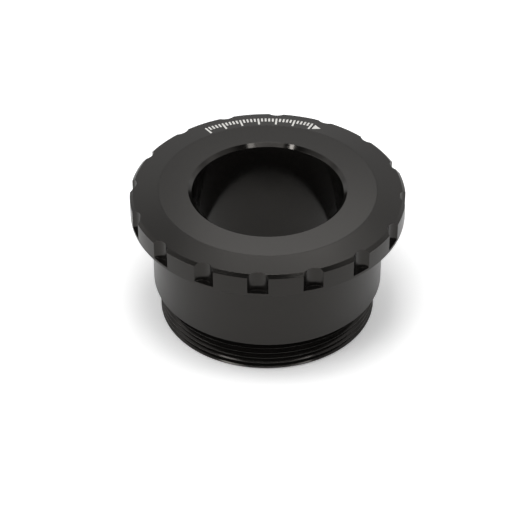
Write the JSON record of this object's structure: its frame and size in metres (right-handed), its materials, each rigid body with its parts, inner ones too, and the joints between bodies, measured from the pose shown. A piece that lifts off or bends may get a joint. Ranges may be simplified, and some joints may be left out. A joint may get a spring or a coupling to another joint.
{
  "type": "bottom bracket",
  "caption": "Round cup unit of a bicycle bottom bracket: notched flange, plain body and threaded end, with a ball bearing under a dished dust cap whose sleeve takes the crank spindle.",
  "frame": {"origin": "centre of the threaded end's flat rim, which the unit stands on", "axes": "+Z along the spindle axis from the threaded end to the cup's face; one flange notch is centred on -Y"},
  "size_m": [0.0544, 0.0544, 0.0284],
  "materials": {
    "cup_anodised": "satin black anodised",
    "cap_anodised": "fine turned, satin black anodised",
    "mark_paint": "matt pale paint fill",
    "bearing_steel": "ground",
    "ball_steel": "polished",
    "cage_steel": "pressed sheet",
    "seal_core_steel": "plain sheet",
    "seal_rubber": "matt",
    "spring_steel": "phosphated",
    "guide_polymer": "fine matt"
  },
  "bodies": {
    "cup": {"cup_body": "cup_anodised", "face_mark_infill": "mark_paint", "bearing_retaining_ring": "spring_steel", "bearing_outer_ring": "bearing_steel", "outboard_seal_core": "seal_core_steel", "outboard_seal_lip": "seal_rubber", "inboard_seal_core": "seal_core_steel", "inboard_seal_lip": "seal_rubber", "sleeve_guide_ring": "guide_polymer", "sleeve_guide_seal": "seal_rubber"},
    "spindle_sleeve": {"dust_cap_sleeve": "cap_anodised", "dust_cap_wiper": "seal_rubber", "bearing_inner_ring": "bearing_steel"},
    "ball_cage": {"bearing_balls": "ball_steel", "bearing_cage_outboard": "cage_steel", "bearing_cage_inboard": "cage_steel", "bearing_cage_rivets": "cage_steel"}
  },
  "joints": [
    {"name": "sleeve_spin", "type": "hinge", "parent": "cup", "child": "spindle_sleeve", "pos_m": [0, 0, 0.0211], "axis": [0, 0, 1], "continuous": true},
    {"name": "cage_spin", "type": "hinge", "parent": "cup", "child": "ball_cage", "pos_m": [0, 0, 0.0211], "axis": [0, 0, 1], "continuous": true}
  ],
  "couplings": [
    {"joint": "cage_spin", "follows": "sleeve_spin", "ratio": 0.4527}
  ]
}
